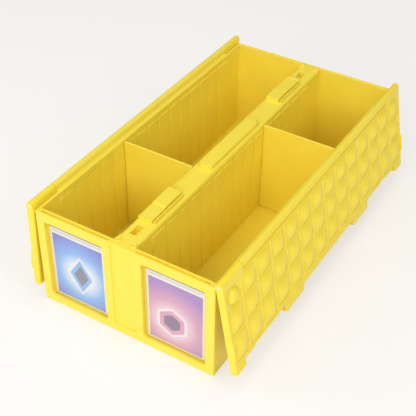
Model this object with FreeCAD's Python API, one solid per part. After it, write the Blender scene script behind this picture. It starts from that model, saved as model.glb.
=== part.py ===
# Trading card storage bin: a long two-row tub with two hinged lids, lift-out partitions and label fronts.
# Millimetres. +X is the right-hand side, +Y the back, +Z up. The origin is the centre of the tub's underside.
import FreeCAD, Part
import os

# Tub
TUB_W = 193.9           # across the side walls
TUB_L = 374.8           # front face to back face
RIM_Z = 111.4           # height of the rim
SIDE_T = 3.2            # side wall
END_T = 6.4             # front wall, deep enough for the label pockets
BACK_T = 3.2
FLOOR_T = 3.0
DIVIDER_W = 23.0        # hollow wall between the two rows
DIVIDER_T = 2.5
DIVIDER_TOP_T = 7.0
DIVIDER_DROP = 0.2      # divider top below the rim
WEB_T = 3.0             # cross webs inside the hollow divider
WEB_PITCH = 120.0
CORNER_R = 1.2          # upright outer corners
BASE_R = 2.0            # lower outer edges
GROOVE_PITCH = 20.5     # upright grooves in the rows' long walls; a partition stands in one of them
GROOVE_D = 0.9
GROOVE_DRAFT = 0.4      # a groove's mouth is this much wider on each side
GROOVE_TOP_DROP = 7.0
LINING_END = 32.0       # the grooved lining of each wall starts this far from the end faces

# Rim details
GUTTER_W = 3.4          # groove in the top of the front wall
GUTTER_EDGE = 1.0
GUTTER_D = 1.8
GUTTER_INSET = 2.5      # from the row's side walls
SOCKET_D = 3.6          # round sockets in the divider's corners
SOCKET_DEPTH = 1.5
SOCKET_EDGE = 7.9       # from the end face
SOCKET_X = 8.4
SLOT_W = 6.5            # blind slots in the divider's ends
SLOT_L = 14.0
SLOT_DEPTH = 5.0
SLOT_EDGE = 20.0        # from the end face
SLOT_X = -1.5           # a little to the left of the middle
PAD_W = 20.0            # raised pads on the divider, between the lids' tabs
PAD_H = 3.8
PAD_STEP = 0.8          # the pad's end nearest the lip is this much lower
PAD_GAP = 1.0           # from the middle tab
PAD_LIP_GAP = 4.0       # from the lip
PAD_HIGH_L = 27.0
CENTRE_PAD_W = 15.0
CENTRE_PAD_L = 100.0

# Front face
WINDOW_W = 67.3         # label pocket
WINDOW_H = 91.0
WINDOW_Z = 10.3
WINDOW_X = 54.1         # pocket centre from the middle
WINDOW_D = 4.6
WINDOW_R = 3.0
PANEL_W = 25.0          # shallow panel between the pockets
PANEL_D = 1.5
PANEL_TOP = 108.5

# Hinges
PIN_OUT = 4.15          # rod axis outside the side wall
PIN_UP = 3.9            # rod axis above the rim
ROD_D = 3.0
ROD_CLEAR = 0.05        # radial, rod in its bores
BARREL_R = 3.75
KNUCKLE_L = 34.8        # lid knuckle at each end
KNUCKLE_GAP = 0.3
BARREL_CLEAR = 0.55     # lid edge to the tub's barrel
STOP_GAP = 0.3

# Lids
LID_OVERHANG = 2.1      # past the end faces of the tub
LID_TOP = 3.75          # outer face above the rod axis, when closed
LID_UNDER = 3.6         # inner face below the rod axis, when closed
LID_REACH = 90.5        # rod axis to the plain free edge
LIP_REACH = 96.0
MID_REACH = 92.8
TAB_REACH = 100.0
END_TAB_L = 18.1
LIP_L = 21.0
LIP_RAISE = 2.6         # inner face of the lip above the lid's inner face
MID_TAB_L = 37.0
MID_TAB_Y = 75.9        # tab centre from the middle
EDGE_CHAMFER = 1.5      # along the tub's barrel
SKIN_T = 2.0            # outer face and edges
CELL_SKIN_T = 1.5       # under the cells
END_SKIN_T = 2.4
CELL_ROWS = 3
CELL_COLUMNS = 14
CELL_START = 5.0        # first row of cells from the rod axis
CELL_PITCH = 26.6       # rows, along the lid's width
CELL_MARGIN = 1.5       # last cells to the lid's ends
CELL_DEPTH = 1.1
CELL_RIB = 1.4
NUB_START = 61.0        # closing nub at each end of the lid, from the rod axis
NUB_L = 20.0
NUB_T = 1.7
NUB_H = 1.4
BLOW_HOLE_D = 1.2
RIGHT_OPEN = 259.6      # how far each lid is turned back from closed
LEFT_OPEN = 268.0
STOP_OPEN = 268.0       # lid against its stop

# Partitions
PART_T = 2.2
PART_SIDE_GAP = 0.3
PART_SLOT_GAP = 0.3     # to the groove's foot on each side
PART_FLOOR_GAP = 0.3
PART_TOP_DROP = 1.1     # top edge below the rim
PART_R = 2.0
LEFT_PART_SLOT = -2.5   # place in groove pitches from the middle
RIGHT_PART_SLOT = 2.5

# Labels
CARD_W = 63.0
CARD_H = 88.0
CARD_T = 0.4
COVER_T = 0.6
COVER_GAP = 0.2
LABEL_GAP = 0.1

CUT = 1.0               # how far a cutting or joining shape runs past the face it meets

HALF_W = TUB_W / 2
HALF_L = TUB_L / 2
ROW_IN = DIVIDER_W / 2
ROW_OUT = HALF_W - SIDE_T
ROW_END = HALF_L - END_T
BACK_END = HALF_L - BACK_T
DIVIDER_Z = RIM_Z - DIVIDER_DROP
PIN_X = HALF_W + PIN_OUT
PIN_Z = RIM_Z + PIN_UP
LID_END = HALF_L + LID_OVERHANG
KNUCKLE_END = LID_END - KNUCKLE_L
BARREL_END = KNUCKLE_END - KNUCKLE_GAP
EDGE_START = BARREL_R + BARREL_CLEAR
LIP_START = LID_END - END_TAB_L
LIP_END = LIP_START - LIP_L
TAB_OUT = MID_TAB_Y + MID_TAB_L / 2
TAB_IN = MID_TAB_Y - MID_TAB_L / 2
X_AXIS = FreeCAD.Vector(1, 0, 0)
Y_AXIS = FreeCAD.Vector(0, 1, 0)
Z_AXIS = FreeCAD.Vector(0, 0, 1)
ALONG = 0.001           # an edge that strays less than this from an axis runs along it


def box(x0, x1, y0, y1, z0, z1):
    return Part.makeBox(x1 - x0, y1 - y0, z1 - z0, FreeCAD.Vector(x0, y0, z0))


def cylinder_y(x, z, radius, y0, y1):
    return Part.makeCylinder(radius, y1 - y0, FreeCAD.Vector(x, y0, z), Y_AXIS)


def prism_y(corners, y0, y1):
    points = [FreeCAD.Vector(x, y0, z) for x, z in corners]
    face = Part.Face(Part.makePolygon(points + points[:1]))
    return face.extrude(FreeCAD.Vector(0, y1 - y0, 0))


def prism_z(corners, z0, z1):
    points = [FreeCAD.Vector(x, y, z0) for x, y in corners]
    face = Part.Face(Part.makePolygon(points + points[:1]))
    return face.extrude(FreeCAD.Vector(0, 0, z1 - z0))


def mirror_x(shape):
    return shape.mirror(FreeCAD.Vector(0, 0, 0), X_AXIS)


def mirror_y(shape):
    return shape.mirror(FreeCAD.Vector(0, 0, 0), Y_AXIS)


def both_sides(shape):
    return [shape, mirror_x(shape)]


def both_ends(shape):
    return [shape, mirror_y(shape)]


def all_quarters(shape):
    return both_sides(shape) + [mirror_y(half) for half in both_sides(shape)]


def edges_along(shape, axis):
    # straight edges that run along an axis
    edges = []
    for edge in shape.Edges:
        run = edge.Vertexes[-1].Point - edge.Vertexes[0].Point
        if run.Length > ALONG and run.cross(axis).Length < ALONG:
            edges.append(edge)
    return edges


def tub_shell():
    # rounded outer block, the two rows and the hollow under the divider
    block = box(-HALF_W, HALF_W, -HALF_L, HALF_L, 0, RIM_Z)
    block = block.makeFillet(CORNER_R, edges_along(block, Z_AXIS))
    low = [edge for edge in block.Edges if edge.BoundBox.ZMax < BASE_R]
    block = block.makeFillet(BASE_R, low)
    row = box(ROW_IN, ROW_OUT, -ROW_END, BACK_END, FLOOR_T, RIM_Z + CUT)
    hollow_x = ROW_IN - DIVIDER_T
    hollow = box(-hollow_x, hollow_x, -ROW_END, ROW_END, -CUT, DIVIDER_Z - DIVIDER_TOP_T)
    step = box(-ROW_IN - CUT, ROW_IN + CUT, -ROW_END, BACK_END, DIVIDER_Z, RIM_Z + CUT)
    return block.cut(both_sides(row) + [hollow, step])


def divider_webs():
    # cross webs that stiffen the hollow divider, flush with the underside
    webs = []
    count = int(ROW_END / WEB_PITCH)
    x = ROW_IN - DIVIDER_T
    for i in range(-count, count + 1):
        y = i * WEB_PITCH
        webs.append(box(-x, x, y - WEB_T / 2, y + WEB_T / 2, 0, DIVIDER_Z - DIVIDER_TOP_T))
    return webs


def grooved_lining(x_wall, inward):
    # raised lining of a row's long wall, parted by upright grooves; inward is +1 or -1 along X
    end = HALF_L - LINING_END
    half = PART_T / 2 + PART_SLOT_GAP
    x_face = x_wall + inward * GROOVE_D
    corners = [(x_wall, -end), (x_face, GROOVE_DRAFT - end)]
    pairs = int(end / GROOVE_PITCH)
    for i in range(-pairs, pairs):
        y = (i + 0.5) * GROOVE_PITCH
        corners += [(x_face, y - half - GROOVE_DRAFT), (x_wall, y - half)]
        corners += [(x_wall, y + half), (x_face, y + half + GROOVE_DRAFT)]
    back = x_wall - inward * DIVIDER_T / 2
    corners += [(x_face, end - GROOVE_DRAFT), (x_wall, end), (back, end), (back, -end)]
    return prism_z(corners, FLOOR_T - CUT, RIM_Z - GROOVE_TOP_DROP)


def label_pocket():
    y = -HALF_L
    x0 = WINDOW_X - WINDOW_W / 2
    pocket = box(x0, x0 + WINDOW_W, y - WINDOW_R, y + WINDOW_D, WINDOW_Z, WINDOW_Z + WINDOW_H)
    return pocket.makeFillet(WINDOW_R, edges_along(pocket, Y_AXIS))


def front_panel():
    y = -HALF_L
    return box(-PANEL_W / 2, PANEL_W / 2, y - CUT, y + PANEL_D, WINDOW_Z, PANEL_TOP)


def rim_cuts():
    # gutters in the front wall, round sockets and blind slots in the divider's ends
    gutter = box(ROW_IN + GUTTER_INSET, ROW_OUT - GUTTER_INSET, GUTTER_EDGE - HALF_L,
                 GUTTER_EDGE + GUTTER_W - HALF_L, RIM_Z - GUTTER_D, RIM_Z + CUT)
    socket_foot = FreeCAD.Vector(SOCKET_X, HALF_L - SOCKET_EDGE, DIVIDER_Z - SOCKET_DEPTH)
    socket = Part.makeCylinder(SOCKET_D / 2, SOCKET_DEPTH + CUT, socket_foot, Z_AXIS)
    slot_y = HALF_L - SLOT_EDGE
    slot_x = SLOT_X - SLOT_W / 2
    slot = box(slot_x, slot_x + SLOT_W, slot_y - SLOT_L, slot_y, DIVIDER_Z - SLOT_DEPTH, RIM_Z + CUT)
    return both_sides(gutter) + all_quarters(socket) + both_ends(slot)


def divider_pads():
    # raised pads that fill the gaps between the tabs of the closed lids
    pad_in = TAB_OUT + PAD_GAP
    pad_out = LIP_END - PAD_LIP_GAP
    foot = DIVIDER_Z - CUT
    top = DIVIDER_Z + PAD_H
    high = box(-PAD_W / 2, PAD_W / 2, pad_in, pad_in + PAD_HIGH_L, foot, top)
    low = box(-PAD_W / 2, PAD_W / 2, pad_in, pad_out, foot, top - PAD_STEP)
    radius = CENTRE_PAD_W / 2
    straight = CENTRE_PAD_L / 2 - radius
    centre = [box(-radius, radius, -straight, straight, foot, top)]
    for y in (-straight, straight):
        centre.append(Part.makeCylinder(radius, top - foot, FreeCAD.Vector(0, y, foot), Z_AXIS))
    return both_ends(high.fuse(low)) + centre


def tub_barrel():
    # long hinge barrel on the right-hand wall, with the web that carries it; its lower face is the lid's stop
    barrel = cylinder_y(PIN_X, PIN_Z, BARREL_R, -BARREL_END, BARREL_END)
    stop = lid_point(EDGE_START, LID_TOP + STOP_GAP, STOP_OPEN)
    wall_middle = HALF_W - SIDE_T / 2
    web = [(wall_middle, RIM_Z), (PIN_X, PIN_Z), stop, (wall_middle, stop[1])]
    return barrel.fuse(prism_y(web, -BARREL_END, BARREL_END))


def lid_point(reach, rise, turned):
    # x and z of a point of the right-hand lid, given from the rod axis and turned back from closed
    point = FreeCAD.Rotation(Y_AXIS, turned).multVec(FreeCAD.Vector(-reach, 0, rise))
    return (PIN_X + point.x, PIN_Z + point.z)


def make_tub():
    tub = tub_shell()
    solids = divider_webs() + divider_pads() + both_sides(tub_barrel())
    for x_wall, inward in ((ROW_OUT, -1), (ROW_IN, 1)):
        solids += both_sides(grooved_lining(x_wall, inward))
    tub = tub.fuse(solids).removeSplitter()
    bore = cylinder_y(PIN_X, PIN_Z, ROD_D / 2 + ROD_CLEAR, -HALF_L, HALF_L)
    cuts = both_sides(label_pocket()) + both_sides(bore) + [front_panel()] + rim_cuts()
    return tub.cut(cuts)


def lid_outline():
    # closed right-hand lid seen from above, x from the rod axis; front to back
    half = [(0, LID_END), (0, KNUCKLE_END), (-EDGE_START, KNUCKLE_END)]
    edge = [(-TAB_REACH, LID_END), (-TAB_REACH, LIP_START), (-LIP_REACH, LIP_START), (-LIP_REACH, LIP_END),
            (-LID_REACH, LIP_END), (-LID_REACH, TAB_OUT), (-TAB_REACH, TAB_OUT), (-TAB_REACH, TAB_IN),
            (-MID_REACH, TAB_IN)]
    hinge_side = [(x, -y) for x, y in half] + [(x, y) for x, y in reversed(half)]
    free_side = edge + [(x, -y) for x, y in reversed(edge)]
    return hinge_side + free_side


def cell_cuts():
    # shallow square cells in the lid's inner face, between thin ribs; the last row ends at the free edge,
    # and short of it in the middle, where a plain strip runs from tab to tab
    cells = []
    pitch = 2 * (LID_END - CELL_MARGIN) / CELL_COLUMNS
    half_rib = CELL_RIB / 2
    for column in range(CELL_COLUMNS):
        y = -LID_END + CELL_MARGIN + column * pitch
        for row in range(CELL_ROWS):
            near = CELL_START + row * CELL_PITCH
            far = near + CELL_PITCH
            if row == 0:
                near += EDGE_CHAMFER
            if row == CELL_ROWS - 1 and abs(y + pitch / 2) > TAB_OUT:
                far = LID_REACH - CELL_MARGIN
            cells.append(box(-far + half_rib, -near - half_rib, y + half_rib, y + pitch - half_rib,
                             -LID_UNDER - CUT, CELL_DEPTH - LID_UNDER))
    return cells


def make_lid():
    # right-hand lid, closed, with the rod axis along Y through the origin
    plate = prism_z(lid_outline(), -LID_UNDER, LID_TOP)
    knuckle = cylinder_y(0, 0, BARREL_R, KNUCKLE_END, LID_END)
    nub = box(-NUB_START - NUB_L, -NUB_START, LID_END - NUB_T, LID_END, -LID_UNDER - NUB_H, -LID_UNDER + CUT)
    lid = plate.fuse(both_ends(knuckle) + both_ends(nub)).removeSplitter()

    x_edge = -EDGE_START + CUT
    z_under = -LID_UNDER - CUT
    chamfer = prism_y([(x_edge, EDGE_CHAMFER - LID_UNDER + CUT), (x_edge, z_under),
                       (-EDGE_START - EDGE_CHAMFER - CUT, z_under)], -KNUCKLE_END, KNUCKLE_END)
    lip_cut = box(-LIP_REACH - CUT, -LID_REACH, LIP_END - CUT, LIP_START, z_under, -LID_UNDER + LIP_RAISE)
    hollow = box(-LID_REACH + SKIN_T, -EDGE_START - EDGE_CHAMFER - SKIN_T, -LID_END + END_SKIN_T,
                 LID_END - END_SKIN_T, -LID_UNDER + CELL_DEPTH + CELL_SKIN_T, LID_TOP - SKIN_T)
    blow_hole = cylinder_y(-LID_REACH / 2, 0, BLOW_HOLE_D / 2, LID_END - END_SKIN_T - CUT, LID_END + CUT)
    bore = cylinder_y(0, 0, ROD_D / 2 + ROD_CLEAR, -LID_END - CUT, LID_END + CUT)
    return lid.cut([chamfer, hollow, blow_hole, bore] + both_ends(lip_cut) + cell_cuts())


def place_lid(lid, turned):
    placed = lid.copy()
    placed.rotate(FreeCAD.Vector(0, 0, 0), Y_AXIS, turned)
    placed.translate(FreeCAD.Vector(PIN_X, 0, PIN_Z))
    return placed


def make_rod():
    return cylinder_y(PIN_X, PIN_Z, ROD_D / 2, -LID_END, LID_END)


def make_partition(slot):
    # right-hand row; the edges stand in a groove of each wall
    y = slot * GROOVE_PITCH
    plate = box(ROW_IN + PART_SIDE_GAP, ROW_OUT - PART_SIDE_GAP, y - PART_T / 2, y + PART_T / 2,
                FLOOR_T + PART_FLOOR_GAP, RIM_Z - PART_TOP_DROP)
    return plate.makeFillet(PART_R, edges_along(plate, Y_AXIS))


def make_label_cover():
    # clear cover in the right-hand label pocket
    back = -HALF_L + WINDOW_D - LABEL_GAP - CARD_T - LABEL_GAP
    half = WINDOW_W / 2 - COVER_GAP
    cover = box(WINDOW_X - half, WINDOW_X + half, back - COVER_T, back,
                WINDOW_Z + COVER_GAP, WINDOW_Z + WINDOW_H - COVER_GAP)
    return cover.makeFillet(WINDOW_R - COVER_GAP, edges_along(cover, Y_AXIS))


def make_label_card():
    back = -HALF_L + WINDOW_D - LABEL_GAP
    bottom = WINDOW_Z + COVER_GAP
    return box(WINDOW_X - CARD_W / 2, WINDOW_X + CARD_W / 2, back - CARD_T, back, bottom, bottom + CARD_H)


def save(node, shape):
    shape.exportStep("parts/" + node + ".step")
    print(node, "solids", len(shape.Solids), "valid", shape.isValid(), "volume", round(shape.Volume))


os.makedirs("parts", exist_ok=True)
lid = make_lid()
rod = make_rod()
cover = make_label_cover()
card = make_label_card()
save("tub", make_tub())
save("right_lid", place_lid(lid, RIGHT_OPEN))
save("left_lid", mirror_x(place_lid(lid, LEFT_OPEN)))
save("right_hinge_rod", rod)
save("left_hinge_rod", mirror_x(rod))
save("right_partition", make_partition(RIGHT_PART_SLOT))
save("left_partition", mirror_x(make_partition(LEFT_PART_SLOT)))
save("right_label_cover", cover)
save("left_label_cover", mirror_x(cover))
save("right_label_card", card)
save("left_label_card", mirror_x(card))
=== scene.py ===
import math

import bmesh
import bpy
from mathutils import Matrix, Vector


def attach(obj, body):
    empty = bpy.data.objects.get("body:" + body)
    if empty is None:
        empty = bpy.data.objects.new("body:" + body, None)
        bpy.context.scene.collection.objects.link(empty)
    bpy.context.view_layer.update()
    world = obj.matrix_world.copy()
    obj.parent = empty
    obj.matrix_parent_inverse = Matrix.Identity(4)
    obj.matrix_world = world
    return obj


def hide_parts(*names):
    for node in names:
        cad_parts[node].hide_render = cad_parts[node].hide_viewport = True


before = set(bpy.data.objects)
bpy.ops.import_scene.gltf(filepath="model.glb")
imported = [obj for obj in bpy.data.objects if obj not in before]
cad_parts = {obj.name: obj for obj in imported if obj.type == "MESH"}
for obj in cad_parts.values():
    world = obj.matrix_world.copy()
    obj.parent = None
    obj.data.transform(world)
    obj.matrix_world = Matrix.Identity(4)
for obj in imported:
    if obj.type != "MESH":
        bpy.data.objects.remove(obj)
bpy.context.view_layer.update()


# Camera. It stands to the right of the front and above the bin, and looks along the rows.
# The place, the direction and the small roll were solved from the straight edges of the tub.
CAMERA_SPOT = (0.37341, -0.66109, 0.63947)
CAMERA_ROLL_DEG = 0.860
SENSOR_WIDTH, LENS = 36, 78.96

view = Vector((-0.40116, 0.66728, -0.62754)).normalized()
level = view.cross(Vector((0, 0, 1))).normalized()
upward = level.cross(view)
roll = math.radians(CAMERA_ROLL_DEG)
across = level * math.cos(roll) + upward * math.sin(roll)
upward = upward * math.cos(roll) - level * math.sin(roll)
camera_data = bpy.data.cameras.new("camera")
camera_data.sensor_width = SENSOR_WIDTH
camera_data.lens = LENS
camera = bpy.data.objects.new("camera", camera_data)
turn = Matrix((across, upward, -view)).transposed().to_4x4()
camera.matrix_world = Matrix.Translation(CAMERA_SPOT) @ turn
bpy.context.scene.collection.objects.link(camera)
bpy.context.scene.camera = camera
bpy.context.scene.view_settings.view_transform = "Standard"


# Tub. One injection moulding in yellow polypropylene: floor, thin side and back walls, a deep front wall,
# and a hollow divider between the two rows. Sizes are in millimetres and become metres when a piece is
# finished.
MM = 0.001
NEAR = 0.001
SHARP_DEG = 40
UP, DOWN, FRONT = Vector((0, 0, 1)), Vector((0, 0, -1)), Vector((0, -1, 0))

TUB_W, TUB_L, RIM_Z, FLOOR_T = 193.9, 374.8, 111.4, 3.0
HALF_W, HALF_L = TUB_W / 2, TUB_L / 2
CORNER_R, BASE_R, RIM_R = 1.2, 2.0, 0.7
# the sides of a row and its front and back ends, as distances from the middle of the tub
ROW_IN, ROW_OUT, ROW_END, BACK_END = 11.5, 93.75, 180.7, 184.2
ROW_X, ROW_W = (ROW_IN + ROW_OUT) / 2, ROW_OUT - ROW_IN
ROW_CORNER_R, ROW_LIP_R, ROW_FOOT_R = 1.5, 0.7, 1.3
SHOULDER_R, SHOULDER_FADE, SHOULDER_STOP = 2.8, 4.0, 7.0
DRAFT = 0.1

# Each hollow: width, length, corner radius (None for a round one), depth, mouth radius, foot radius.
GUTTER = (ROW_W - 5.6, 3.2, 1.2, 3.2, 0.4, 1.0)
SLOT = (6.6, 14.0, 0.7, 9.0, 0.35, 0.4)
INNER_CHANNEL = (0.7, 48, 0.34, 1.0, 0.1, 0.2)
OUTER_CHANNEL = (0.8, 48, 0.34, 1.0, 0.15, 0.2)
SOCKET = (3.4, 3.4, None, 1.5, 0.2, 0.3)
TRAY = (15.6, 188, 1.2, 0.8, 0.4, 0.4)
POCKET = (67.3, 91, 3.0, 4.6, 0.4, 0.4)
PANEL = (25, 98.2, 1.0, 1.5, 0.5, 0.4)

# Where they are: across from the middle, and in from the end faces or along from the middle.
GUTTER_IN = 3.2
SLOT_X, SLOT_IN = -1.5, 27.0
SOCKET_X, SOCKET_IN = 8.4, 7.9
INNER_CHANNEL_X, OUTER_CHANNEL_X, CHANNEL_Y = 5.05, 7.85, 121.0
POCKET_X, POCKET_FOOT = 54.1, 10.3
SILL_NEAR, SILL_FAR, SILL_DROP = 2.5, 3.35, 3.0
# the divider is hollow from below, between its cross webs: the middle and half the length of each space
HOLLOW_W, HOLLOW_CORNER_R, HOLLOW_D = 18, 1.5, 104.2
HOLLOWS = ((-151.25, 29.75), (-60, 58.5), (60, 58.5), (151.25, 29.75))


def round_edges(bm, edges, radius, segments=3):
    bmesh.ops.bevel(bm, geom=edges, offset=radius, offset_type="OFFSET", segments=segments, profile=0.5,
                    affect="EDGES", clamp_overlap=True, material=-1)


def level_edges(bm, z):
    return [edge for edge in bm.edges if all(abs(vert.co.z - z) < NEAR for vert in edge.verts)]


def rising_edges(bm, least=NEAR):
    return [edge for edge in bm.edges if abs(edge.verts[0].co.z - edge.verts[1].co.z) > least]


def rounded_box(low, high, upright=0.0, top=0.0, base=0.0, segments=3):
    bm = bmesh.new()
    bmesh.ops.create_cube(bm, size=1)
    low, high = Vector(low), Vector(high)
    bmesh.ops.scale(bm, vec=high - low, verts=bm.verts)
    bmesh.ops.translate(bm, vec=(low + high) / 2, verts=bm.verts)
    if upright:
        round_edges(bm, rising_edges(bm), upright, segments + 2)
    if top:
        round_edges(bm, level_edges(bm, high.z), top, segments)
    if base:
        round_edges(bm, level_edges(bm, low.z), base, segments)
    return bm


def move_new(bm, made, step):
    # moves what an extrusion has just made
    bmesh.ops.translate(bm, vec=step, verts=[new for new in made if isinstance(new, bmesh.types.BMVert)])


def extruded(points, start, end):
    # a prism along Y from the outline (x, z)
    bm = bmesh.new()
    face = bm.faces.new([bm.verts.new((x, start, z)) for x, z in points])
    made = bmesh.ops.extrude_face_region(bm, geom=[face], use_keep_orig=True)["geom"]
    move_new(bm, made, (0, end - start, 0))
    bmesh.ops.recalc_face_normals(bm, faces=bm.faces)
    return bm


def end_edges(bm):
    # the outlines of a prism's two ends
    return [edge for edge in bm.edges if abs(edge.verts[0].co.y - edge.verts[1].co.y) < NEAR]


def turned(profile, segments=32):
    # a ring or disc about Z from the closed outline (radius, z)
    bm = bmesh.new()
    verts = [bm.verts.new((radius, 0, z)) for radius, z in profile]
    edges = [bm.edges.new((verts[i - 1], verts[i])) for i in range(len(verts))]
    bmesh.ops.spin(bm, geom=verts + edges, cent=(0, 0, 0), axis=(0, 0, 1), dvec=(0, 0, 0), angle=2 * math.pi,
                   steps=segments, use_merge=True, use_duplicate=False)
    bmesh.ops.recalc_face_normals(bm, faces=bm.faces)
    return bm


def place(x, y, z, turn=0.0):
    # turn is about X: 90 degrees for the front face, 180 for the underside
    return Matrix.Translation((x, y, z)) @ Matrix.Rotation(math.radians(turn), 4, "X")


def join(bm, part, matrix=Matrix.Identity(4)):
    mesh = bpy.data.meshes.new("part")
    part.to_mesh(mesh)
    part.free()
    mesh.transform(matrix)
    bm.from_mesh(mesh)
    bpy.data.meshes.remove(mesh)


def quarter_round(radius, at_mouth, steps=4):
    # how far the wall goes in and down at each step of a rounded mouth or foot
    ins, downs = [], []
    for i in range(steps + 1):
        angle = math.pi / 2 * i / steps
        ins.append(radius * (math.sin(angle) if at_mouth else 1 - math.cos(angle)))
        downs.append(radius * (1 - math.cos(angle) if at_mouth else math.sin(angle)))
    return [(ins[i + 1] - ins[i], downs[i + 1] - downs[i]) for i in range(steps)]


def pit(width, length, corner, depth, lip, foot):
    # A hollow below z = 0 with rounded corners, mouth and foot, open at the top. The corner radius is larger
    # than that of the foot, which keeps the outline of the floor from folding over itself.
    bm = bmesh.new()
    if corner is None:
        bmesh.ops.create_circle(bm, cap_ends=True, cap_tris=False, segments=28, radius=width / 2 + lip)
    else:
        bmesh.ops.create_grid(bm, x_segments=1, y_segments=1, size=0.5)
        bmesh.ops.scale(bm, vec=(width + 2 * lip, length + 2 * lip, 1), verts=bm.verts)
        bmesh.ops.bevel(bm, geom=bm.verts[:], offset=corner + lip, offset_type="OFFSET", segments=6,
                        profile=0.5, affect="VERTICES", material=-1)
    bm.faces.ensure_lookup_table()
    face = bm.faces[0]
    walls = quarter_round(lip, True) + [(DRAFT, depth - lip - foot)] + quarter_round(foot, False)
    for inward, downward in walls:
        bmesh.ops.inset_region(bm, faces=[face], thickness=inward, use_even_offset=True, use_boundary=True)
        bmesh.ops.translate(bm, vec=(0, 0, -downward), verts=face.verts)
    return bm


def open_face(bm, normal):
    # takes out the largest face that looks this way
    bm.normal_update()
    faces = [face for face in bm.faces if face.normal.dot(normal) > 0.999]
    bmesh.ops.delete(bm, geom=[max(faces, key=lambda face: face.calc_area())], context="FACES_ONLY")


def close_plane(bm, normal, distance):
    # fills between the outline and the mouths that lie in one plane
    edges = [edge for edge in bm.edges
             if edge.is_boundary and all(abs(vert.co.dot(normal) - distance) < 0.005 for vert in edge.verts)]
    bmesh.ops.triangle_fill(bm, use_beauty=True, edges=edges, normal=normal)


def cut_across(bm, point, normal):
    bmesh.ops.bisect_plane(bm, geom=bm.verts[:] + bm.edges[:] + bm.faces[:], dist=0.0001, plane_co=point,
                           plane_no=normal, clear_inner=False, clear_outer=False)


def smooth(part):
    return part * part * (3 - 2 * part)


def outer_wall():
    # the tub's outside from the underside to the rim, open above and below
    bm = rounded_box((-HALF_W, -HALF_L, 0), (HALF_W, HALF_L, RIM_Z), base=BASE_R, segments=4)
    round_edges(bm, rising_edges(bm), CORNER_R, 5)
    round_edges(bm, level_edges(bm, RIM_Z), RIM_R, 4)
    open_face(bm, UP)
    open_face(bm, DOWN)
    return bm


def row_pit():
    # right-hand row; the divider's shoulder, on its left side, is rounder than the other edges of the mouth
    length = ROW_END + BACK_END
    bm = pit(ROW_W, length, ROW_CORNER_R, RIM_Z - FLOOR_T, ROW_LIP_R, ROW_FOOT_R)
    stop = length / 2 - SHOULDER_STOP
    for step in range(4):
        for side in (-1, 1):
            cut_across(bm, (0, side * (stop - SHOULDER_FADE * step / 3), 0), (0, 1, 0))
    for vert in bm.verts:
        if vert.co.x < 0 and vert.co.z > -ROW_LIP_R - 0.01:
            part = min(max((stop - abs(vert.co.y)) / SHOULDER_FADE, 0), 1)
            grown = 1 + (SHOULDER_R / ROW_LIP_R - 1) * smooth(part)
            vert.co.z *= grown
            if vert.co.x < -ROW_W / 2:
                vert.co.x = (vert.co.x + ROW_W / 2) * grown - ROW_W / 2
    return bm


def label_pocket():
    # with a narrow slot in its sill, in front of the clear cover's foot
    bm = pit(*POCKET)
    for depth in (SILL_NEAR, SILL_FAR):
        cut_across(bm, (0, 0, -depth), (0, 0, 1))
    bm.normal_update()
    strip = [face for face in bm.faces if abs(face.normal.y) > 0.9 and face.calc_center_median().y < 0
             and -SILL_FAR < face.calc_center_median().z < -SILL_NEAR]
    made = bmesh.ops.extrude_face_region(bm, geom=strip)["geom"]
    move_new(bm, made, (0, -SILL_DROP, 0))
    bmesh.ops.delete(bm, geom=[face for face in strip if face.is_valid], context="FACES_ONLY")
    bmesh.ops.delete(bm, geom=[edge for edge in bm.edges if edge.is_wire], context="EDGES")
    return bm


tub = outer_wall()
open_face(tub, FRONT)
for side in (-1, 1):
    mirror = Matrix.Scale(side, 4, (1, 0, 0))
    join(tub, row_pit(), mirror @ place(ROW_X, (BACK_END - ROW_END) / 2, RIM_Z))
    # gutter in the top of the front wall, and the label pocket below it
    join(tub, pit(*GUTTER), place(side * ROW_X, GUTTER_IN - HALF_L, RIM_Z))
    join(tub, label_pocket(), place(side * POCKET_X, -HALF_L, POCKET_FOOT + POCKET[1] / 2, 90))
# shallow panel between the pockets
join(tub, pit(*PANEL), place(0, -HALF_L, POCKET_FOOT + PANEL[1] / 2, 90))
for end in (-1, 1):
    # blind slots and round sockets in the ends of the divider, and two channels beside each pad
    join(tub, pit(*SLOT), place(SLOT_X, end * (HALF_L - SLOT_IN), RIM_Z))
    join(tub, pit(*INNER_CHANNEL), place(INNER_CHANNEL_X, end * CHANNEL_Y, RIM_Z))
    join(tub, pit(*OUTER_CHANNEL), place(OUTER_CHANNEL_X, end * CHANNEL_Y, RIM_Z))
    for side in (-1, 1):
        join(tub, pit(*SOCKET), place(side * SOCKET_X, end * (HALF_L - SOCKET_IN), RIM_Z))
# sunk tray between the two pads
join(tub, pit(*TRAY), place(0, 0, RIM_Z))
for y, half in HOLLOWS:
    join(tub, pit(HOLLOW_W, 2 * half, HOLLOW_CORNER_R, HOLLOW_D, 0.4, 0.6), place(0, y, 0, 180))
close_plane(tub, UP, RIM_Z)
close_plane(tub, DOWN, 0)
close_plane(tub, FRONT, HALF_L)

# raised rims round the sockets, as radius and height
SOCKET_RIM = ((1.9, -0.3), (1.9, 0.45), (2.15, 0.75), (2.6, 0.85), (3.1, 0.6), (3.6, 0.05), (3.7, -1.8))
for side in (-1, 1):
    for end in (-1, 1):
        join(tub, turned(SOCKET_RIM), place(side * SOCKET_X, end * (HALF_L - SOCKET_IN), RIM_Z))

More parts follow.
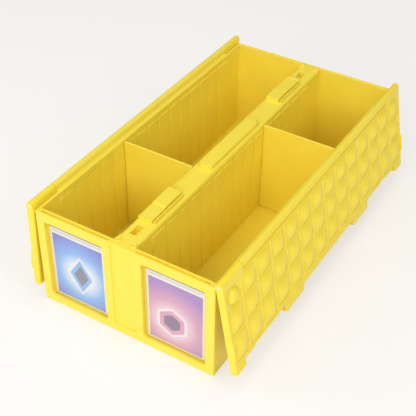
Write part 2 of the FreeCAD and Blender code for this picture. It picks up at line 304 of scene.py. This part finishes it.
# Grooved lining on the long walls of the rows; the partitions stand in its grooves. The side of a groove is
# given as the height above the wall and the distance from the groove's middle.
GROOVE_PITCH, GROOVE_PAIRS, GROOVE_D, GROOVE_DRAFT = 20.5, 7, 0.9, 0.4
GROOVE_SIDE = ((-0.3, 1.25), (0.1, 1.4), (0.8, 1.75), (0.9, 2.0))
LINING_END, LINING_TOP, LINING_TOP_R = HALF_L - 32, RIM_Z - 7, 0.7
LINING_SINK = 0.8


def lining(wall, inward):
    face = wall + inward * GROOVE_D
    back = wall - inward * LINING_SINK
    points = [(back, -LINING_END), (wall, -LINING_END), (face, GROOVE_DRAFT - LINING_END)]
    for i in range(-GROOVE_PAIRS, GROOVE_PAIRS):
        y = (i + 0.5) * GROOVE_PITCH
        points += [(wall + inward * rise, y - out) for rise, out in reversed(GROOVE_SIDE)]
        points += [(wall + inward * rise, y + out) for rise, out in GROOVE_SIDE]
    points += [(face, LINING_END - GROOVE_DRAFT), (wall, LINING_END), (back, LINING_END)]
    bm = extruded(points, FLOOR_T - 0.5, LINING_TOP)
    bmesh.ops.transform(bm, matrix=Matrix.Rotation(math.radians(90), 4, "X"), verts=bm.verts)
    bmesh.ops.recalc_face_normals(bm, faces=bm.faces)
    round_edges(bm, level_edges(bm, LINING_TOP), LINING_TOP_R, 4)
    return bm


for wall, inward in ((ROW_IN, 1), (ROW_OUT, -1), (-ROW_IN, -1), (-ROW_OUT, 1)):
    join(tub, lining(wall, inward))

# Raised pads on the divider, between the tabs of the closed lids. A thin ridge stands beside each end pad.
# The outline of an end pad is given as the distance along the divider and the height above the rim.
PAD_FOOT, PAD_LEFT, PAD_RIGHT, PAD_R = -1.5, -10, 4.5, 0.8
PAD = ((146.4, PAD_FOOT), (146.4, 3.1), (144.6, 3.1), (144.0, 2.7), (123.6, 2.7), (121.4, 3.6), (95.4, 3.6),
       (95.4, PAD_FOOT))
RIDGE_LEFT, RIDGE_RIGHT, RIDGE_START, RIDGE_STOP, RIDGE_TOP = 5.65, 7.15, 97, 145, 2.2
MIDDLE_PAD_W, MIDDLE_PAD_L, MIDDLE_PAD_TOP = 15, 100, 3.6
for end in (-1, 1):
    pad = extruded([(end * along, RIM_Z + rise) for along, rise in PAD], -PAD_RIGHT, -PAD_LEFT)
    bmesh.ops.transform(pad, matrix=Matrix.Rotation(math.radians(90), 4, "Z"), verts=pad.verts)
    standing = rising_edges(pad, 3)
    round_edges(pad, [edge for edge in pad.edges if edge in standing
                      or all(vert.co.z > RIM_Z for vert in edge.verts)], PAD_R)
    join(tub, pad)
    near, far = sorted((end * RIDGE_START, end * RIDGE_STOP))
    join(tub, rounded_box((RIDGE_LEFT, near, RIM_Z + PAD_FOOT), (RIDGE_RIGHT, far, RIM_Z + RIDGE_TOP),
                          0.7, 0.65, segments=4))
join(tub, rounded_box((-MIDDLE_PAD_W / 2, -MIDDLE_PAD_L / 2, RIM_Z + PAD_FOOT),
                      (MIDDLE_PAD_W / 2, MIDDLE_PAD_L / 2, RIM_Z + MIDDLE_PAD_TOP), 7.2, 1.2))

# long hinge barrel on each side wall, on a web whose lower face stops the open lid; its foot covers the rim
PIN_X, PIN_Z, BARREL_R, BARREL_END = 101.1, 115.3, 3.75, 154.4
STOP = (97.2, 110.86)


def curve(a, b, c, d, steps=8):
    # cubic curve from a to d, pulled towards b and c
    points = []
    for i in range(steps + 1):
        t = i / steps
        k = ((1 - t) ** 3, 3 * t * (1 - t) ** 2, 3 * t * t * (1 - t), t ** 3)
        points.append(tuple(sum(w * p[axis] for w, p in zip(k, (a, b, c, d))) for axis in (0, 1)))
    return points


def arc(centre, radius, start, end, steps):
    angles = [math.radians(start + (end - start) * i / steps) for i in range(steps + 1)]
    return [(centre[0] + radius * math.cos(angle), centre[1] + radius * math.sin(angle)) for angle in angles]


def barrel():
    # its section, from inside the side wall over the rim, up the barrel and round to the stop below it
    lip = arc((ROW_OUT + 0.55, RIM_Z - 0.55), 0.8, 180, 90, 4)
    valley = curve(lip[-1], (97.0, RIM_Z + 0.15), (97.22, 114.03), (PIN_X - 3.736, PIN_Z + 0.327))
    stop_angle = math.degrees(math.atan2(STOP[1] - PIN_Z, STOP[0] - PIN_X))
    crest = arc((PIN_X, PIN_Z), BARREL_R, 175, stop_angle, 36)
    foot = [STOP, (HALF_W - 1.6, STOP[1])]
    section = [(ROW_OUT - 0.25, RIM_Z - 2.6)] + lip + valley[1:] + crest[1:] + foot
    bm = extruded(section, -BARREL_END, BARREL_END)
    round_edges(bm, end_edges(bm), 0.3, 2)
    return bm


join(tub, barrel())
join(tub, barrel(), Matrix.Scale(-1, 4, (1, 0, 0)))


def linear(colour):
    # "#rrggbb" as written for a screen to the linear values that the shaders take
    values = [int(colour[i:i + 2], 16) / 255 for i in (1, 3, 5)]
    return [v / 12.92 if v <= 0.04045 else ((v + 0.055) / 1.055) ** 2.4 for v in values] + [1]


def add(tree, kind, props={}, sockets={}):
    # one shader node; a socket takes a value or another node's output
    made = tree.nodes.new("ShaderNode" + kind)
    for name, value in props.items():
        setattr(made, name, value)
    for name, value in sockets.items():
        if isinstance(value, bpy.types.NodeSocket):
            tree.links.new(value, made.inputs[name])
        else:
            made.inputs[name].default_value = value
    return made


def sums(tree, operation, *values):
    return add(tree, "Math", {"operation": operation}, dict(enumerate(values))).outputs[0]


def mix(tree, factor, first, second):
    return add(tree, "Mix", {"data_type": "RGBA"}, {0: factor, 6: first, 7: second}).outputs[2]


def shader(name):
    # a new material with its output and the place on the object
    material = bpy.data.materials.new(name)
    material.use_nodes = True
    tree = material.node_tree
    tree.nodes.clear()
    output = add(tree, "OutputMaterial")
    return material, tree, output, add(tree, "TexCoord").outputs["Object"]


def moulded_plastic(name, colour, deep, roughness):
    # Polypropylene from a mould: satin, slightly uneven in colour where it flowed, with a faint long
    # waviness of the wall and a fine grain. The grain is really under 0.1 mm, and is drawn at 1 mm to show.
    material, tree, output, where = shader(name)
    flow = add(tree, "TexNoise", {}, {"Vector": where, "Scale": 1 / 0.060, "Detail": 3.0, "Roughness": 0.55})
    tint = mix(tree, flow.outputs[0], linear(colour), linear(deep))
    grain = add(tree, "TexNoise", {}, {"Vector": where, "Scale": 1 / 0.001, "Detail": 2.0})
    wave = add(tree, "TexNoise", {}, {"Vector": where, "Scale": 1 / 0.035, "Detail": 1.0})
    long_bump = add(tree, "Bump", {}, {"Height": wave.outputs[0], "Distance": 0.0004, "Strength": 0.35})
    bump = add(tree, "Bump", {}, {"Height": grain.outputs[0], "Distance": 0.00002, "Strength": 0.15,
                                  "Normal": long_bump.outputs["Normal"]})
    rub = add(tree, "TexNoise", {}, {"Vector": where, "Scale": 1 / 0.012, "Detail": 2.0})
    gloss = add(tree, "MapRange", {}, {"Value": rub.outputs[0], "From Min": 0.3, "From Max": 0.7,
                                       "To Min": roughness - 0.03, "To Max": roughness + 0.03})
    plastic = add(tree, "BsdfPrincipled", {}, {"Base Color": tint, "Roughness": gloss.outputs["Result"],
                                               "IOR": 1.49, "Normal": bump.outputs["Normal"]})
    tree.links.new(plastic.outputs["BSDF"], output.inputs["Surface"])
    return material


def piece(bm, name, material, body, slot, *nodes):
    # ends a piece: normals out, metres, smooth where it is rounded, riding on its body
    bmesh.ops.remove_doubles(bm, verts=bm.verts, dist=0.0005)
    bmesh.ops.dissolve_degenerate(bm, dist=0.0005, edges=bm.edges)
    bmesh.ops.recalc_face_normals(bm, faces=bm.faces)
    bmesh.ops.scale(bm, vec=(MM, MM, MM), verts=bm.verts)
    mesh = bpy.data.meshes.new(name)
    bm.to_mesh(mesh)
    bm.free()
    mesh.polygons.foreach_set("use_smooth", [True] * len(mesh.polygons))
    mesh.set_sharp_from_angle(angle=math.radians(SHARP_DEG))
    mesh.materials.append(material)
    made = bpy.data.objects.new(name, mesh)
    bpy.context.scene.collection.objects.link(made)
    made.modifiers.new("even_shading", "WEIGHTED_NORMAL").keep_sharp = True
    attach(made, body)
    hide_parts(*nodes)
    return made


yellow = moulded_plastic("injection_moulded_polypropylene", "#FDE850", "#F9DF44", 0.33)
piece(tub, "tub_moulding", yellow, "tub", "tub_plastic", "tub")


# Hinge rods. Drawn steel rods, 3 mm thick, pushed through the barrel and the knuckles of each lid.
# Only their cut ends show, so the CAD rods stay and take a steel finish, with fine scratches 0.6 mm apart.
steel, tree, output, where = shader("drawn_steel")
scratches = add(tree, "TexNoise", {}, {"Vector": where, "Scale": 1 / 0.0006, "Detail": 3.0})
gloss = add(tree, "MapRange", {}, {"Value": scratches.outputs[0], "To Min": 0.35, "To Max": 0.5})
metal = add(tree, "BsdfPrincipled", {}, {"Base Color": linear("#F7F6F3"), "Metallic": 1.0,
                                         "Roughness": gloss.outputs["Result"]})
tree.links.new(metal.outputs["BSDF"], output.inputs["Surface"])
for node in ("right_hinge_rod", "left_hinge_rod"):
    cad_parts[node].data.materials.clear()
    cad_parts[node].data.materials.append(steel)


# Lids. Double-skin blow mouldings: a flat outer skin, and a quilted inner skin of 3 by 14 cells between thin
# seams. They are made closed, with the rod axis at the origin, and then turned back to where they hang.
# Distances from the hinge are along -X.
LID_END, LID_TOP, LID_UNDER, LID_CORNER_R = 189.5, 3.75, -3.6, 2.0
UNDER_RIM_R, TOP_RIM_R = 1.2, 2.4
KNUCKLE_END, KNUCKLE_BACK, KNUCKLE_PROUD = 154.7, -2.0, 0.1
BORE = (3.06, 3.06, None, 3.0, 0.12, 0.02)
EDGE, CHAMFER = 4.0, 2.3
REACH, MID_REACH, TAB_REACH, LIP_REACH = 90.5, 92.8, 100.0, 96.0
LIP_START, LIP_END, TAB_OUT, TAB_IN = 171.4, 150.4, 94.4, 57.4
RIM_ROOM = (7.6, 7.6, None, 0.8, 0.3, 0.15)
LINE_REACH, TAB_LINE_REACH, LINE_RISE, TAB_LINE_RISE = 87.9, 92.6, 0.45, 0.2
NUB_NEAR, NUB_FAR, NUB_T, NUB_RISE = 61, 81, 1.7, 1.4
OPEN_DEG = {"right": 259.6, "left": 268.0}

# the quilt: its seams as distances from the hinge, its ridges, the swell of its cells, and the boss in the
# first cell
SEAMS = (6.5, 31.6, 58.2, 84.8)
OUTER_SEAMS = (6.5, 31.6, 58.2, 88.3)
QUILT_END, COLUMNS, OUTER_COLUMNS = 187.0, 14, 3
CREST, RIDGE_W, RIDGE_H, SWELL, OVER_WALL = 0.35, 1.9, 1.1, 3.4, 1.2
RIDGE_STEPS, CELL_STEPS = 5, 18
BOSS_Y, BOSS_IN, BOSS_R, BOSS_RING_D, BOSS_RING_W = -173.2, 19.2, 8.6, 2.4, 2.0


def lid_plate():
    half = [(KNUCKLE_BACK, LID_END), (-TAB_REACH, LID_END), (-TAB_REACH, LIP_START), (-REACH, LIP_START),
            (-REACH, TAB_OUT), (-TAB_REACH, TAB_OUT), (-TAB_REACH, TAB_IN), (-MID_REACH, TAB_IN)]
    hinge = [(KNUCKLE_BACK, -KNUCKLE_END), (-EDGE, -KNUCKLE_END), (-EDGE, KNUCKLE_END),
             (KNUCKLE_BACK, KNUCKLE_END)]
    outline = hinge + half + [(x, -y) for x, y in reversed(half)]
    bm = bmesh.new()
    bm.faces.new([bm.verts.new((x, y, LID_UNDER)) for x, y in outline])
    corners = [vert for vert in bm.verts if vert.co.x < -REACH / 2]
    bmesh.ops.bevel(bm, geom=corners, offset=LID_CORNER_R, offset_type="OFFSET", segments=4, profile=0.5,
                    affect="VERTICES", material=-1)
    made = bmesh.ops.extrude_face_region(bm, geom=bm.faces[:], use_keep_orig=True)["geom"]
    move_new(bm, made, (0, 0, LID_TOP - LID_UNDER))
    bmesh.ops.recalc_face_normals(bm, faces=bm.faces)
    # flat chamfer along the tub's barrel
    cut_across(bm, (0, 0, LID_UNDER + CHAMFER), (0, 0, 1))
    for vert in bm.verts:
        if abs(vert.co.x + EDGE) < NEAR and abs(vert.co.z - LID_UNDER) < NEAR:
            vert.co.x -= CHAMFER
    for z, radius in ((LID_UNDER, UNDER_RIM_R), (LID_TOP, TOP_RIM_R)):
        rim = [edge for edge in level_edges(bm, z)
               if all(abs(vert.co.y) > LID_END - NEAR for vert in edge.verts)
               or all(vert.co.x < -REACH / 2 for vert in edge.verts)]
        round_edges(bm, rim, radius, 4)
    return bm


def cell_lines(low, high):
    # places of the mesh lines across one cell, closer together on the ridges at its two sides
    steps = [i * (RIDGE_W - CREST) / RIDGE_STEPS + CREST for i in range(RIDGE_STEPS + 1)]
    middle = [low + RIDGE_W + (high - low - 2 * RIDGE_W) * i / CELL_STEPS for i in range(1, CELL_STEPS)]
    return [low] + [low + step for step in steps] + middle + [high - step for step in reversed(steps)]


def swell_at(x, y, x0, x1, y0, y1):
    # how far the cell between x0, x1, y0 and y1 stands out at (x, y)
    s = min(abs(2 * x - x0 - x1) / (x1 - x0 - 2 * RIDGE_W), 1)
    t = min(abs(2 * y - y0 - y1) / (y1 - y0 - 2 * RIDGE_W), 1)
    rise = SWELL * math.cos(s * math.pi / 2) * math.cos(t * math.pi / 2)
    # flatter over the end walls, which the closed lid must clear
    return min(rise, OVER_WALL + 0.7 * max(ROW_END - abs(y), 0))


def quilt(low, high, columns, seams):
    # Thin ridges stand on the seams, level with the lid's inner face. Between them each cell swells to a
    # soft crown, and the first cell at the front has a round boss in a ring-shaped hollow.
    rows = [-seam for seam in reversed(seams)]
    ends = [low + (high - low) * i / columns for i in range(columns + 1)]
    xs = [x for x0, x1 in zip(rows, rows[1:]) for x in cell_lines(x0, x1)] + rows[-1:]
    ys = [y for y0, y1 in zip(ends, ends[1:]) for y in cell_lines(y0, y1)] + ends[-1:]
    bm = bmesh.new()
    bmesh.ops.create_grid(bm, x_segments=len(xs) - 1, y_segments=len(ys) - 1, size=0.5)
    for vert in bm.verts:
        x = xs[round((vert.co.x + 0.5) * (len(xs) - 1))]
        y = ys[round((vert.co.y + 0.5) * (len(ys) - 1))]
        x0, x1 = next(pair for pair in zip(rows, rows[1:]) if x <= pair[1] + NEAR)
        y0, y1 = next(pair for pair in zip(ends, ends[1:]) if y <= pair[1] + NEAR)
        from_seam = min(x - x0, x1 - x, y - y0, y1 - y)
        down = min(max((from_seam - CREST) / (RIDGE_W - CREST), 0), 1)
        rise = swell_at(x, y, x0, x1, y0, y1)
        if x0 < -BOSS_IN < x1 and y0 < BOSS_Y < y1:
            off_ring = math.hypot(x + BOSS_IN, y - BOSS_Y) - BOSS_R
            rise -= BOSS_RING_D * math.exp(-(off_ring / BOSS_RING_W) ** 2) * down
        vert.co = (x, y, LID_UNDER + RIDGE_H * smooth(down) - rise)
    return bm


def knuckle(side):
    # short barrel that runs into the lid's edge, with the rod's bore sunk in its outer end
    section = arc((0, 0), BARREL_R, 90, -106, 32) + [(-2.1, -3.58), (-2.6, -3.0), (-2.6, 3.0), (-2.1, 3.73)]
    outer = LID_END + KNUCKLE_PROUD
    near, far = sorted((side * KNUCKLE_END, side * outer))
    bm = extruded(section, near, far)
    round_edges(bm, end_edges(bm), 0.6, 3)
    outward = Vector((0, side, 0))
    open_face(bm, outward)
    join(bm, pit(*BORE), place(0, side * outer, 0, -90 * side))
    close_plane(bm, outward, outer)
    return bm


def lid(turn, mirror):
    bm = lid_plate()
    open_face(bm, DOWN)
    middle_end = QUILT_END * (COLUMNS - 2 * OUTER_COLUMNS) / COLUMNS
    join(bm, quilt(-QUILT_END, -middle_end, OUTER_COLUMNS, OUTER_SEAMS))
    join(bm, quilt(-middle_end, middle_end, COLUMNS - 2 * OUTER_COLUMNS, SEAMS))
    join(bm, quilt(middle_end, QUILT_END, OUTER_COLUMNS, OUTER_SEAMS))
    bmesh.ops.remove_doubles(bm, verts=bm.verts, dist=0.0005)
    for end in (-1, 1):
        # room for the raised rim of the socket under each end tab
        join(bm, pit(*RIM_ROOM), place(SOCKET_X - PIN_X, end * (HALF_L - SOCKET_IN), LID_UNDER, 180))
    close_plane(bm, UP, LID_UNDER)
    # raised lines on the plain strip of the free edge, from tab to tab and across each tab
    inside = LID_UNDER + 0.3
    join(bm, rounded_box((-LINE_REACH, 0.8 - TAB_OUT, LID_UNDER - LINE_RISE),
                         (1 - LINE_REACH, TAB_OUT - 0.8, inside), 0.4, 0, 0.4))
    for end in (-1, 1):
        join(bm, knuckle(end))
        near, far = sorted((end * TAB_IN, end * TAB_OUT))
        join(bm, rounded_box((-TAB_LINE_REACH, near + 1, LID_UNDER - TAB_LINE_RISE),
                             (0.9 - TAB_LINE_REACH, far - 1, inside), 0.4, 0, 0.2))
        # rounded lip beside each end tab, and a nub on the inner face at the lid's end
        near, far = sorted((end * LIP_END, end * (LIP_START + 1)))
        join(bm, rounded_box((-LIP_REACH, near, -1.0), (-REACH + 2, far, LID_TOP - 0.1), 1.5, 1.0, 1.0))
        near, far = sorted((end * (LID_END - NUB_T), end * LID_END))
        join(bm, rounded_box((-NUB_FAR, near, LID_UNDER - NUB_RISE), (-NUB_NEAR, far, LID_UNDER + 1.1),
                             0.6, 0, 0.8))
    matrix = Matrix.Translation((PIN_X, 0, PIN_Z)) @ Matrix.Rotation(math.radians(turn), 4, "Y")
    if mirror:
        matrix = Matrix.Scale(-1, 4, (1, 0, 0)) @ matrix
    bmesh.ops.transform(bm, matrix=matrix, verts=bm.verts)
    return bm


lid_yellow = moulded_plastic("blow_moulded_polypropylene", "#FEE740", "#FADE36", 0.30)
for side, turn in OPEN_DEG.items():
    name = side + "_lid"
    piece(lid(turn, side == "left"), name + "_moulding", lid_yellow, name, "lid_plastic", name)


# Partitions. Plain moulded plates with rounded corners, dropped into a groove of their row.
PART_W, PART_H, PART_T, PART_FOOT, PART_CORNER_R, PART_EDGE_R = 81.65, 107.0, 2.2, 3.3, 2.0, 0.6


def upright_sheet(width, height, thickness, corner, edge, x, y, foot):
    # stands across the rows, with its middle at (x, y) and its lower edge at the foot
    bm = rounded_box((-width / 2, -height / 2, -thickness / 2), (width / 2, height / 2, thickness / 2),
                     corner, edge, edge)
    bmesh.ops.transform(bm, matrix=place(x, y, foot + height / 2, 90), verts=bm.verts)
    return bm


for name, x, y in (("left_partition", -ROW_X, -51.25), ("right_partition", ROW_X, 51.25)):
    plate = upright_sheet(PART_W, PART_H, PART_T, PART_CORNER_R, PART_EDGE_R, x, y, PART_FOOT)
    piece(plate, name + "_plate", yellow, name, "partition_plastic", name)


# Labels. A printed card of trading-card size in each front pocket, behind a clear rigid sheet.
# The prints are plain and generic: a soft glow round a simple sign on a coloured ground, with a pale border.
# A brown strip along each card's top is painted shadow under the pocket's top ledge, and a peach outer
# margin is painted shade of the pocket round the card.
CARD_W, CARD_H, CARD_T, CARD_R, CARD_Y = 63.0, 88.0, 0.4, 3.0, -183.1
COVER_W, COVER_H, COVER_T, COVER_R, COVER_Y = 66.9, 90.6, 0.6, 2.8, -183.7
LABEL_FOOT = 10.5
# the print, in millimetres from the middle of its picture; the brown strip along the top and the peach outer
# margin are painted shade of the pocket, not print
PICTURE_W, PICTURE_H, PICTURE_Z = 57.0, 75.6, 51.0
RULED_Z, RULED_HALF, LEDGE_SHADOW_Z = 41.9, 0.7, 44.5
SHADED_MARGIN_X, SHADED_MARGIN_FOOT = 30.2, -39.4
GLOW_R, SIGN_R, CORE_R, LINE_HALF = 46.0, 11.0, 6.5, 0.9


def printed_card(name, centre_x, sign, colours):
    # Card stock with a satin print. The sign is a figure with straight sides, given by the place of its
    # middle and by how much its sloping and its upright sides count.
    sign_x, sign_z, slope_x, slope_z, upright = sign
    corner, ground, glow, line, core = [linear(colour) for colour in colours]
    material, tree, output, where = shader(name)
    on_print = add(tree, "Mapping", {}, {"Vector": where, "Location": (-centre_x, 0, -PICTURE_Z),
                                         "Scale": (1 / MM, 1 / MM, 1 / MM)}).outputs[0]
    axes = add(tree, "SeparateXYZ", {}, {0: on_print})
    x, z = axes.outputs["X"], axes.outputs["Z"]
    across_picture = sums(tree, "COMPARE", x, 0, PICTURE_W / 2)
    inside = sums(tree, "MULTIPLY", across_picture, sums(tree, "COMPARE", z, 0, PICTURE_H / 2))
    ruled = sums(tree, "MULTIPLY", across_picture, sums(tree, "COMPARE", z, RULED_Z, RULED_HALF))
    # painted shade: a peach band round the card's outer edge, standing in for the pocket's shade on it
    painted_margin_shade = sums(tree, "MAXIMUM", sums(tree, "GREATER_THAN", sums(tree, "ABSOLUTE", x), SHADED_MARGIN_X),
                  sums(tree, "LESS_THAN", z, SHADED_MARGIN_FOOT))
    # painted shadow: the strip along the card's top, under the pocket's top ledge
    painted_ledge_shadow = sums(tree, "GREATER_THAN", z, LEDGE_SHADOW_Z)
    off_x = sums(tree, "ABSOLUTE", sums(tree, "SUBTRACT", x, sign_x))
    off_z = sums(tree, "ABSOLUTE", sums(tree, "SUBTRACT", z, sign_z))
    squares = sums(tree, "ADD", sums(tree, "POWER", off_x, 2.0), sums(tree, "POWER", off_z, 2.0))
    far = sums(tree, "SQRT", squares)
    ramp = add(tree, "ValToRGB", {}, {"Fac": sums(tree, "DIVIDE", far, GLOW_R)})
    ramp.color_ramp.elements[0].color = glow
    ramp.color_ramp.elements[0].position = 0.3
    ramp.color_ramp.elements[1].color = corner
    ramp.color_ramp.elements.new(0.58).color = ground
    form = sums(tree, "ADD", sums(tree, "MULTIPLY", off_x, slope_x), sums(tree, "MULTIPLY", off_z, slope_z))
    form = sums(tree, "MAXIMUM", form, sums(tree, "MULTIPLY", off_x, upright))
    colour = mix(tree, sums(tree, "LESS_THAN", form, SIGN_R), ramp.outputs["Color"], ground)
    colour = mix(tree, sums(tree, "LESS_THAN", form, CORE_R), colour, core)
    colour = mix(tree, sums(tree, "COMPARE", form, SIGN_R, LINE_HALF), colour, line)
    edge = mix(tree, across_picture, linear("#FBF7CC"), linear("#F3F1EC"))
    edge = mix(tree, ruled, edge, linear("#D2D3DB"))
    # painted shade on the card's outer margin, in peach
    edge = mix(tree, painted_margin_shade, edge, linear("#F5DC9A"))
    # painted shadow of the pocket's top ledge, in brown
    edge = mix(tree, painted_ledge_shadow, edge, linear("#BC8F48"))
    colour = mix(tree, inside, edge, colour)
    card = add(tree, "BsdfPrincipled", {}, {"Base Color": colour, "Roughness": 0.35, "IOR": 1.5})
    tree.links.new(card.outputs["BSDF"], output.inputs["Surface"])
    return material


# clear sheet that mirrors more when it is seen from the side, the same from both faces
clear, tree, output, where = shader("clear_rigid_sheet")
see_through = add(tree, "BsdfTransparent", {}, {"Color": (0.97, 0.97, 0.97, 1)})
shine = add(tree, "BsdfGlossy", {}, {"Color": (1, 1, 1, 1), "Roughness": 0.08})
facing = add(tree, "LayerWeight", {}, {"Blend": 0.5}).outputs["Facing"]
share = sums(tree, "MULTIPLY_ADD", sums(tree, "POWER", facing, 5.0), 0.96, 0.04)
sheet = add(tree, "MixShader", {}, {0: share, 1: see_through.outputs[0], 2: shine.outputs[0]})
tree.links.new(sheet.outputs[0], output.inputs["Surface"])


blue = printed_card("blue_print", -POCKET_X, (2, -4, 0.78, 0.5, 0.0),
                    ("#8583DD", "#8FC2FC", "#F2F6FF", "#F4F7FB", "#8A8D9A"))
purple = printed_card("purple_print", POCKET_X, (-4, -10, 0.38, 0.66, 0.76),
                      ("#B189CD", "#E5ABC6", "#FCE4EE", "#FBF1F6", "#8C7796"))
for side, x, material in (("left", -POCKET_X, blue), ("right", POCKET_X, purple)):
    card = upright_sheet(CARD_W, CARD_H, CARD_T, CARD_R, 0, x, CARD_Y, LABEL_FOOT)
    piece(card, side + "_card_print", material, side + "_label", side + "_label_print", side + "_label_card")
    cover = upright_sheet(COVER_W, COVER_H, COVER_T, COVER_R, 0.1, x, COVER_Y, LABEL_FOOT)
    piece(cover, side + "_card_cover", clear, side + "_label", "label_cover_plastic", side + "_label_cover")


# Floor and light. A plain pale table, which stays near white to the camera. Soft light comes from all round,
# with the strongest softbox in front, weaker ones on both sides and a small one above.
FLOOR_HALF = 3.0
FLOOR_DROP = 0.0001
SKY, SKY_IN_GLOSS = 0.43, -0.3
BACKDROP_SHARE = 0.6
AIM = (0, 0, 0.05)

floor_bm = bmesh.new()
bmesh.ops.create_grid(floor_bm, x_segments=1, y_segments=1, size=FLOOR_HALF)
floor_mesh = bpy.data.meshes.new("floor")
floor_bm.to_mesh(floor_mesh)
floor_bm.free()
floor = bpy.data.objects.new("floor", floor_mesh)
bpy.context.scene.collection.objects.link(floor)
# just clear of the underside, so that the two faces don't lie in one plane
floor.location.z = -FLOOR_DROP
white, tree, output, where = shader("pale_table")
mottle = add(tree, "TexNoise", {}, {"Vector": where, "Scale": 4.0})
tone = mix(tree, mottle.outputs[0], linear("#FBF9F6"), linear("#F8F6F3"))
table = add(tree, "BsdfPrincipled", {}, {"Base Color": tone, "Roughness": 0.7})
backdrop = add(tree, "Emission", {}, {"Color": linear("#FDFBF8"), "Strength": 1.0})
to_camera = sums(tree, "MULTIPLY", add(tree, "LightPath").outputs["Is Camera Ray"], BACKDROP_SHARE)
paper = add(tree, "MixShader", {}, {0: to_camera, 1: table.outputs[0], 2: backdrop.outputs[0]})
tree.links.new(paper.outputs[0], output.inputs["Surface"])
floor_mesh.materials.append(white)

# the sky is white to the camera, weaker as light, and weaker still in reflections
world = bpy.data.worlds.new("studio")
world.use_nodes = True
bpy.context.scene.world = world
tree = world.node_tree
tree.nodes.clear()
rays = add(tree, "LightPath")
seen = sums(tree, "MAXIMUM", rays.outputs["Is Camera Ray"], rays.outputs["Is Transmission Ray"])
strength = sums(tree, "MULTIPLY_ADD", seen, 1 - SKY, SKY)
strength = sums(tree, "MULTIPLY_ADD", rays.outputs["Is Glossy Ray"], SKY_IN_GLOSS, strength)
sky = add(tree, "Background", {}, {"Color": (1, 1, 1, 1), "Strength": strength})
tree.links.new(sky.outputs[0], add(tree, "OutputWorld").inputs["Surface"])


def softbox(name, spot, size, watts):
    data = bpy.data.lights.new(name, "AREA")
    data.shape = "RECTANGLE"
    data.size, data.size_y = size, size
    data.energy = watts
    made = bpy.data.objects.new(name, data)
    aim = (Vector(AIM) - Vector(spot)).to_track_quat("-Z", "Y").to_matrix().to_4x4()
    made.matrix_world = Matrix.Translation(spot) @ aim
    bpy.context.scene.collection.objects.link(made)


softbox("front_softbox", (0.2, -1.5, 0.9), 0.8, 11.5)
softbox("right_softbox", (1.2, -0.3, 1.15), 0.8, 6)
softbox("left_softbox", (-1.2, -0.6, 1.0), 0.8, 4.5)
softbox("top_softbox", (0, 0, 1.7), 0.5, 4)
